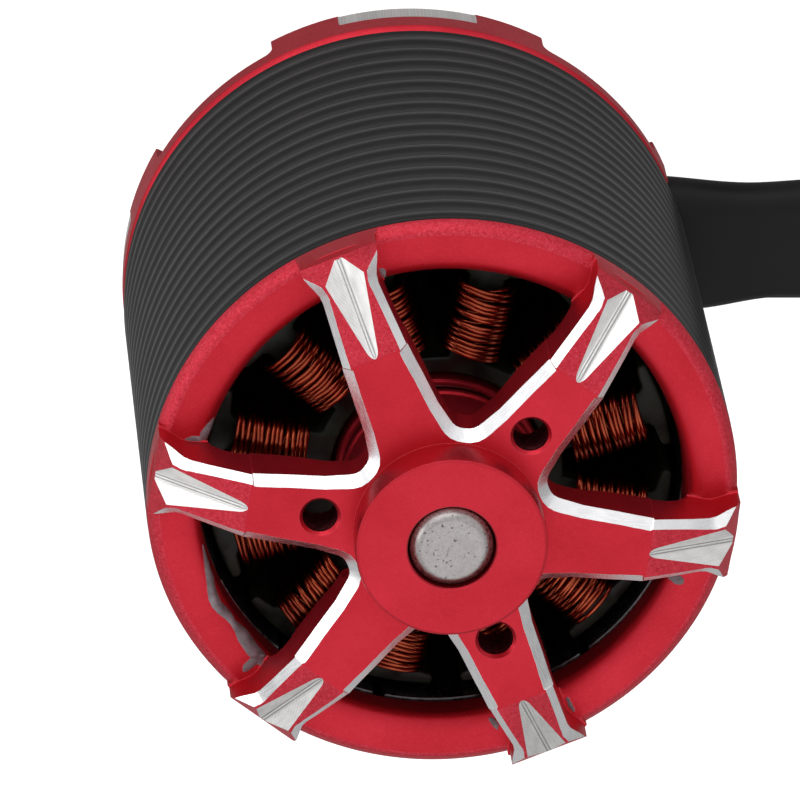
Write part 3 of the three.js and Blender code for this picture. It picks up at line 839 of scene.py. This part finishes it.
def hole_cutter(angle):
    """A tapped hole with its countersink; its threads get a dark material, painted shade in the
    hole.
    """
    profile = [(0.0, 52.0), (1.95, 52.0), (1.95, 47.5), (1.47, TOP_Z), (1.25, 46.74),
               (1.22, 46.6)]
    z = 46.6
    while z > 42.4:
        profile += [(1.38, z - 0.12), (1.22, z - 0.37), (1.22, z - 0.42)]
        z -= 0.5
    profile += [(1.22, 39.0), (0.0, 39.0)]
    # The thread faces take the dark material: painted shade in the hole.
    bands = [0] * 4 + [1] * (len(profile) - 5)
    hole = lathe("hole", profile, 32, [RED_MAT, THREAD_SHADE_MAT], bands)
    return moved(hole, polar(HOLE_CIRCLE_R, angle))


def make_bell():
    angles = [SPOKE_PHASE + i * TAU / SPOKES for i in range(SPOKES)]
    blank = pipe("bell", 3.0, 9.3, 43.8, TOP_Z, 96, [RED_MAT])
    for angle in angles:
        boolean(blank, turned(spoke_blank(), angle), "UNION")
    boolean(blank, pipe("rim", 0.0, BELL_R, 38.0, 53.0, 240, [RED_MAT]), "INTERSECT")
    for i in range(SPOKES):
        boolean(blank, turned(window_cutter(), SPOKE_PHASE + (i + 0.5) * TAU / SPOKES))
    ring_profile = [
        (17.2, 38.6), (19.2, 38.6), (19.2, 40.15), (20.8, 40.15), (BELL_R, 40.27), (20.88, 40.52),
        (20.44, 40.99), (20.26, RING_Z), (20.05, 41.16), (18.6, 41.16)] + RING_ROUND
    ring_bands = [0] * 4 + [1] * 4 + [0] * 7
    ring = lathe("ring", ring_profile, 240, [RED_MAT, BLASTED_MAT], ring_bands)
    boolean(blank, ring, "UNION")
    hub = lathe("hub", [
        (3.0, 38.3), (4.4, 38.3), (4.6, 38.05), (6.9, 38.05), (7.05, 38.2), (7.05, 38.6),
        (6.9, 38.8), (6.9, 44.4), (6.75, 44.5), (6.75, 49.66), (6.70, 49.80), (6.52, 49.9),
        (3.2, 49.9), (3.0, 49.7)], 144, [RED_MAT])
    boolean(blank, hub, "UNION")
    for angle in angles:
        boolean(blank, turned(kite_cutter(), angle))
    for i in TAPPED_SPOKES:
        boolean(blank, hole_cutter(angles[i]))
    bore = lathe("bore", [(0.0, 37.0), (3.12, 37.0), (3.12, 49.78), (3.24, 49.92), (3.24, 52.0),
                          (0.0, 52.0)], 96, [RED_MAT])
    boolean(blank, bore)
    for angle in GRUB_ANGLES:
        socket = pipe("grub_hole", 0.0, 1.45, 2.0, 9.0, 32, [RED_MAT])
        boolean(blank, lay_along_x(socket, GRUB_AT, angle))
    return blank


RING_EDGE = [(18.3, 41.14)] + RING_ROUND + [(17.2, 39.9), (17.2, 39.5)]


def adhesive_strip(stations):
    """A smear over the ring's inner edge; each station is angle, start and end along the edge
    and height."""
    rings, steps = [], 9
    for angle, start, end, high in stations:
        ring = []
        for outer in (True, False):
            for i in range(steps + 1):
                u = i / steps if outer else 1 - i / steps
                f = min(len(RING_EDGE) - 1.001, max(0.0, start + (end - start) * u))
                (r0, z0), (r1, z1) = RING_EDGE[int(f)], RING_EDGE[int(f) + 1]
                r, z = r0 + (r1 - r0) * (f % 1), z0 + (z1 - z0) * (f % 1)
                d = Vector((r1 - r0, z1 - z0)).normalized()
                h = high * math.sin(math.pi * min(0.97, max(0.03, u))) if outer else -0.06
                r, z = r + d.y * h, z - d.x * h
                p = polar(r, rad(angle))
                ring.append((p.x, p.y, z))
        rings.append(ring)
    return stack("strip", rings, [ADHESIVE_MAT])


def adhesive_blob(angle, r, size, turn, seed):
    """A flat drop of uneven outline; size is its half length, half width and height."""
    verts, faces = sphere((0, 0, 0), 1.0, 12, 20)
    rng = random.Random(seed)
    k = [rng.uniform(0, TAU) for _ in range(3)]
    out = []
    for x, y, z in verts:
        a = math.atan2(y, x)
        w = 1 + 0.16 * math.sin(2 * a + k[0]) + 0.11 * math.sin(3 * a + k[1]) + 0.05 * math.sin(
            5 * a + k[2])
        out.append(Vector((x * w * size[0], y * w * size[1], z * size[2])))
    blob = tidy(new_object("blob", out, faces, [ADHESIVE_MAT]))
    at = polar(r, rad(angle))
    blob.data.transform(Matrix.Translation((at.x, at.y, 41.05)) @ Matrix.Rotation(
        rad(turn), 4, "Z"))
    return blob


def absorb(obj, parts, mat):
    """Adds separate closed patches to a piece's mesh."""
    obj.data.materials.append(mat)
    index = len(obj.data.materials) - 1
    bm = bmesh.new()
    bm.from_mesh(obj.data)
    count = len(bm.faces)
    for part in parts:
        bm.from_mesh(part.data)
        bpy.data.objects.remove(part)
    bm.faces.ensure_lookup_table()
    for face in bm.faces[count:]:
        face.material_index = index
    bm.to_mesh(obj.data)
    bm.free()


def spoke_uvs(obj):
    """UV in millimetres along and across the nearest spoke."""
    mesh = obj.data
    layer = mesh.uv_layers.new(name="spoke")
    for poly in mesh.polygons:
        c = poly.center
        k = round((math.atan2(c.y, c.x) - SPOKE_PHASE) / (TAU / SPOKES))
        a = SPOKE_PHASE + k * TAU / SPOKES
        ca, sa = math.cos(a), math.sin(a)
        for li in poly.loop_indices:
            v = mesh.vertices[mesh.loops[li].vertex_index].co
            layer.data[li].uv = (v.x * ca + v.y * sa, -v.x * sa + v.y * ca)


bell = make_bell()
# Two smears of adhesive that the camera sees, and six drops: angle, radius, size and turn.
absorb(bell, [
    adhesive_strip([(193, 3.6, 4.0, 0.02), (196, 3.0, 4.4, 0.06), (199, 2.3, 4.2, 0.09),
                    (202, 1.6, 3.9, 0.12), (204, 0.9, 3.2, 0.16), (206, 0.2, 2.9, 0.20),
                    (208, 0.1, 2.7, 0.20), (210, 0.6, 3.3, 0.14), (212, 1.4, 3.6, 0.10),
                    (214, 1.7, 3.3, 0.09), (216, 1.5, 3.9, 0.12), (218, 0.8, 4.4, 0.15),
                    (220, 0.5, 4.0, 0.17), (222, 0.1, 3.6, 0.16), (225, 0.0, 3.4, 0.14),
                    (227, 0.3, 2.6, 0.05)]),
    adhesive_strip([(160, 3.2, 4.0, 0.03), (162, 2.0, 4.4, 0.12), (164, 1.2, 4.2, 0.18),
                    (166, 1.5, 3.8, 0.12)])]
    + [adhesive_blob(*blob, seed) for seed, blob in enumerate([
        (224.4, 18.6, (0.95, 0.48, 0.17), 215), (166.0, 18.4, (0.80, 0.32, 0.14), 165),
        (283.6, 18.4, (0.60, 0.34, 0.13), 300), (300.6, 19.0, (0.85, 0.36, 0.13), 297),
        (339.0, 18.3, (0.90, 0.40, 0.12), 345), (105.6, 17.9, (0.50, 0.22, 0.13), 112)], 1)],
    ADHESIVE_MAT)
spoke_uvs(bell)
finish_piece(bell, "rotor", "bell", 24)

# ---- can ----
MAGNETS = 14


def make_can():
    outside = [(19.5, 4.75), (19.65, 4.6), (20.72, 4.6), (20.88, 4.72)]
    z = 4.95
    while z < 39.55:
        wave = 0.5 + 0.5 * math.cos(TAU * (z - RIDGE_FIRST_Z) / RIDGE_PITCH)
        outside.append((20.76 + 0.23 * wave ** 1.8, z))
        z += RIDGE_PITCH / 14
    outside += [(20.93, 39.62), (20.9, 39.78), (20.8, 39.85), (19.65, 39.85), (19.5, 39.7)]
    return lathe("can_shell", outside, 240, [CAN_MAT])


def make_magnet(i):
    outline = sector(19.2, 17.2, (i + 0.5) * TAU / MAGNETS, rad(23.4) / 2, (10, 10))
    return bevel(prism(f"pole_{i + 1}", outline, 8.5, 38.0, [MAGNET_MAT]), 0.18)


finish_piece(make_can(), "rotor", "can", 40)
for i in range(MAGNETS):
    finish_piece(make_magnet(i), "rotor", f"magnet_{i + 1}")

# ---- shaft and small turned pieces ----


def make_shaft():
    return lathe("spindle", [
        (0.0, 0.4), (2.3, 0.4), (2.6, 0.52), (2.62, 0.6), (2.2, 0.7), (2.2, 1.6), (2.9, 1.6),
        (3.0, 1.7), (3.0, 49.2), (2.9, 49.5), (2.76, 49.62), (2.70, 49.68), (2.56, 49.86),
        (2.36, 50.02), (2.26, 50.07), (2.1, 50.09), (0.0, 50.1)], 96, [SHAFT_MAT])


def make_clip():
    outline = arc(4.6, rad(-140), rad(140), 40) + arc(2.45, rad(140), rad(-140), 36)
    return bevel(prism("clip", outline, 0.9, 1.4, [OXIDE_MAT]), 0.08)


def make_shim():
    return bevel(pipe("shim", 3.3, 4.2, 37.5, 38.0, 64, [BEARING_MAT]), 0.06)


def make_grub(name, angle):
    """A threaded grub screw with a hexagon socket, pointing out of the hub."""
    profile = [(0.0, 3.3), (1.0, 3.3), (1.18, 3.5)]
    z = 3.6
    while z < 6.6:
        profile += [(1.2, z + 0.1), (1.06, z + 0.3), (1.06, z + 0.35)]
        z += 0.45
    profile += [(1.2, 6.85), (1.05, 7.08), (0.0, 7.1)]
    grub = lathe(name, profile, 32, [OXIDE_MAT])
    hexagon = [polar(0.7, TAU * j / 6) for j in range(6)]
    boolean(grub, prism("hexagon", hexagon, 5.6, 8.0, [OXIDE_MAT]))
    return lay_along_x(grub, GRUB_AT, angle)


finish_piece(make_shaft(), "rotor", "shaft", 25)
finish_piece(make_clip(), "rotor", "e_clip")
finish_piece(make_shim(), "rotor", "shim_washer")
for i, angle in enumerate(GRUB_ANGLES):
    finish_piece(make_grub(f"grub_{i + 1}", angle), "rotor",
                 f"grub_screw_{i + 1}")


def add_bearing(name, z0, shield_z, cage_body):
    """A ball bearing from z0 up: two races, a shield, and the cage with its balls."""
    z1, mid = z0 + 5.0, z0 + 2.5
    outer = lathe(name + "_outer", [
        (5.55, z0 + 0.1), (5.65, z0), (6.2, z0), (6.4, z0 + 0.1), (6.5, z0 + 0.3),
        (6.5, z1 - 0.3), (6.4, z1 - 0.1), (6.2, z1), (5.65, z1), (5.55, z1 - 0.1)], 96,
        [BEARING_MAT])
    inner = lathe(name + "_inner", [
        (3.3, z0 + 0.15), (3.45, z0), (3.8, z0), (3.95, z0 + 0.12), (3.95, z1 - 0.12),
        (3.8, z1), (3.45, z1), (3.3, z1 - 0.15)], 96, [BEARING_MAT])
    shield = lathe(name + "_cover", [
        (4.25, shield_z + 0.06), (4.3, shield_z), (4.75, shield_z + 0.05), (5.2, shield_z),
        (5.25, shield_z + 0.06), (5.25, shield_z + 0.2), (5.15, shield_z + 0.25),
        (4.75, shield_z + 0.2), (4.35, shield_z + 0.25), (4.25, shield_z + 0.18)], 96,
        [BEARING_MAT])
    cage = bevel(pipe(name + "_balls", 4.55, 4.95, mid - 0.35, mid + 0.35, 64,
                      [BRASS_MAT, BEARING_MAT]), 0.06)
    balls = join("balls", [(*sphere((*polar(4.75, TAU * i / 8), mid), 0.5), 1)
                           for i in range(8)], [BRASS_MAT, BEARING_MAT])
    boolean(cage, tidy(balls), "UNION")
    finish_piece(outer, "stator", name + "_outer_race")
    finish_piece(inner, "rotor", name + "_inner_race")
    finish_piece(shield, "stator", name + "_shield")
    finish_piece(cage, cage_body, name + "_cage")


add_bearing("rear_bearing", 1.9, 2.1, "rear_cage")
add_bearing("front_bearing", 32.2, 36.75, "front_cage")

# ---- stator core and coils ----
TEETH, TOOTH_PHASE = 12, rad(18.8)
CORE_Z0, CORE_Z1 = 10.3, 36.8
WIRE_R = 0.17


def make_core():
    """Every tooth has a straight neck, and a shoe with a curved face."""
    neck_half_w, half = 1.3, rad(11.5)
    # The side of a tooth, as radius and half angle.
    flank = [(r, math.asin(neck_half_w / r) * k)
             for r, k in [(8.9, 1.0), (9.4, 0.98), (15.3, 1.0), (15.6, 1.25)]]
    flank += [(15.92, half * 0.94), (16.2, half)]
    outline = []
    for i in range(TEETH):
        c = TOOTH_PHASE + i * TAU / TEETH
        outline += [polar(r, c - a) for r, a in flank]
        outline += arc(16.65, c - half * 0.97, c + half * 0.97, 8)
        outline += [polar(r, c + a) for r, a in flank[::-1]]
    core = prism("laminations", outline, CORE_Z0, CORE_Z1, [CORE_MAT])
    boolean(core, pipe("core_bore", 0.0, 7.7, 5.0, 40.0, 72, [CORE_MAT]))
    return bevel(core, 0.3, 3, 50)


def coil_parts(seed):
    """Turns of wire round a tooth that points along +X: an inner and an outer layer."""
    rng = random.Random(seed)
    parts = []
    mid = (CORE_Z0 + CORE_Z1) / 2
    half_stack = (CORE_Z1 - CORE_Z0) / 2
    # Half width, height over the tooth, number of turns, first and last radius.
    layers = [(1.64, 0.95, 13, 9.95, 14.9), (2.06, 1.72, 15, 9.8, 14.98)]
    for w, h, turns, r0, r1 in layers:
        lean = rng.choice((-1, 1)) * 0.16
        for i in range(turns):
            x = r0 + (r1 - r0) * i / (turns - 1) + rng.uniform(-0.05, 0.05)
            slant = lean + rng.uniform(-0.14, 0.14)
            bow = rng.uniform(-0.10, 0.10) + 0.22 * (0.5 - i / turns)
            rise = h + rng.uniform(-0.18, 0.16) + 0.30 * math.sin(math.pi * (i + 0.5) / turns)
            wide = w + rng.uniform(-0.03, 0.02)
            path = []
            for end in (1, -1):
                for k in range(11):
                    a = math.pi * k / 10
                    y = end * wide * math.cos(a)
                    lift = rise * math.sin(a) ** 0.85
                    z = mid + end * (half_stack + 0.28 + lift)
                    dx = slant * (y / wide) + bow * math.sin(a)
                    xx = min(15.0, max(9.72, x + dx))
                    path.append(Vector((xx, y, z)))
            parts.append((*wire_loop(path, WIRE_R, 8), 0))
    return parts


def make_coil(i):
    coil = join(f"winding_{i + 1}", coil_parts(100 + i), [COPPER_MAT])
    return turned(coil, TOOTH_PHASE + i * TAU / TEETH)


finish_piece(make_core(), "stator", "stator_core", 35)
for i in range(TEETH):
    finish_piece(make_coil(i), "stator", f"coil_{i + 1}", 70)

# ---- mount base ----
LUGS, LUG_PHASE = 4, rad(1)


def make_base():
    body = lathe("mount", [
        (6.8, 0.25), (7.0, 0.0), (20.7, 0.0), (20.88, 0.15), (20.9, 0.4), (20.9, 3.6),
        (20.8, 3.78), (20.42, 4.2), (20.3, 4.3), (9.4, 4.3), (9.2, 4.5), (9.2, 9.85),
        (9.05, 10.0), (7.4, 10.0), (7.4, 37.2), (7.25, 37.4), (7.0, 37.4), (6.8, 37.2),
        (6.8, 31.9), (5.7, 31.9), (5.7, 7.2), (6.8, 7.2)], 192, [RED_MAT])
    for i in range(LUGS):
        between = LUG_PHASE + (i + 0.5) * TAU / LUGS
        gap = sector(23.5, 15.0, between, rad(16.5), (12, 12))
        boolean(body, bevel(prism("gap", gap, -3.0, 2.3, [RED_MAT]), 0.7, 4, 60))
        vent = sector(18.4, 10.8, between, rad(16.5), (14, 10))
        boolean(body, bevel(prism("vent", vent, -3.0, 8.0, [RED_MAT]), 0.8, 4, 60))
        bolt = lathe("bolt", [
            (0.0, -1.0), (2.3, -1.0), (2.3, -0.1), (1.7, 0.45), (1.7, 6.0), (0.0, 6.0)], 40,
            [RED_MAT])
        boolean(body, moved(bolt, polar(12.5, LUG_PHASE + i * TAU / LUGS)))
    notch = prism("notch", [(16.8, -2.25), (27, -2.25), (27, 8.45), (16.8, 8.45)], -1.0, 6.5,
                  [RED_MAT])
    boolean(body, bevel(notch, 0.5, 3, 60))
    for i in range(1, LUGS):
        # A bright machined face across the outside of each lug.
        outline = arc(20.78, rad(-14.2), rad(14.2), 24) + arc(26, rad(13), rad(-13), 8)
        patch = bevel(prism("patch", outline, -1.0, 2.0, [KITE_MAT]), 0.25, 3, 60)
        boolean(body, turned(patch, LUG_PHASE + i * TAU / LUGS))
    return body


base = make_base()
spoke_uvs(base)
finish_piece(base, "stator", "mount_base", 28)

# ---- floor and light ----
FLOOR_HALF_M, FLOOR_GLOW, FLOOR_SHOWN = 6.0, 0.06, 0.95
SKY_EVEN, SKY_DIM, SKY_BRIGHT, SKY_SHOWN = 0.84, 0.22, 1.3, 1.0


def add_floor():
    """A floor that the camera sees almost white, but that lights the motor little."""
    mesh = bpy.data.meshes.new("floor")
    corners = [(-1, -1), (1, -1), (1, 1), (-1, 1)]
    mesh.from_pydata([(x * FLOOR_HALF_M, y * FLOOR_HALF_M, 0) for x, y in corners], [],
                     [(0, 1, 2, 3)])
    floor = bpy.data.objects.new("floor", mesh)
    scene.collection.objects.link(floor)
    mat = material("floor", (0.40, 0.40, 0.40), 0.0, 0.9)
    n = Nodes(mat.node_tree)
    shader = mat.node_tree.nodes["Principled BSDF"].inputs
    shader["Emission Color"].default_value = (1, 1, 1, 1)
    seen = n.add("ShaderNodeLightPath").outputs["Is Camera Ray"]
    n.put(shader["Emission Strength"], n.ramp(seen, 0, 1, FLOOR_GLOW, FLOOR_SHOWN))
    mesh.materials.append(mat)


def add_sky():
    """An even sky overhead, brighter low down behind and to the left, dimmer low down in
    front. The camera sees it white."""
    world = bpy.data.worlds.new("studio")
    scene.world = world
    world.use_nodes = True
    n = Nodes(world.node_tree)
    background = world.node_tree.nodes["Background"].inputs
    background["Color"].default_value = (1, 1, 1, 1)
    split = n.add("ShaderNodeSeparateXYZ", {
        0: n.add("ShaderNodeTexCoord").outputs["Generated"]}).outputs
    lean = n.math("ADD", n.math("MULTIPLY", split[1], 0.8), n.math("MULTIPLY", split[0], -0.5))
    low = n.ramp(lean, -0.6, 0.6, SKY_DIM, SKY_BRIGHT)
    height = n.ramp(split[2], 0.05, 0.40)
    level = n.math("ADD", n.math("MULTIPLY", height, SKY_EVEN), n.math(
        "MULTIPLY", n.math("SUBTRACT", 1.0, height), low))
    seen = n.add("ShaderNodeLightPath").outputs["Is Camera Ray"]
    n.put(background["Strength"], n.math("ADD", n.math("MULTIPLY", seen, SKY_SHOWN), n.math(
        "MULTIPLY", n.math("SUBTRACT", 1.0, seen), level)))


def area_light(name, location, size, power):
    """A rectangular light that points at the motor's middle."""
    data = bpy.data.lights.new(name, "AREA")
    data.shape = "RECTANGLE"
    data.size, data.size_y = size
    data.energy = power
    light = bpy.data.objects.new(name, data)
    scene.collection.objects.link(light)
    direction = Vector((0, 0, 0.03)) - Vector(location)
    light.matrix_world = Matrix.Translation(location) @ direction.to_track_quat(
        "-Z", "Y").to_matrix().to_4x4()


add_floor()
add_sky()
area_light("key", (-0.25, 0.85, 0.35), (0.9, 0.5), 1.5)
area_light("left", (-0.9, 0.1, 0.25), (0.4, 0.5), 0.8)
area_light("front", (0.12, -0.45, 1.0), (0.8, 0.7), 0.5)

scene.view_settings.view_transform = "Standard"
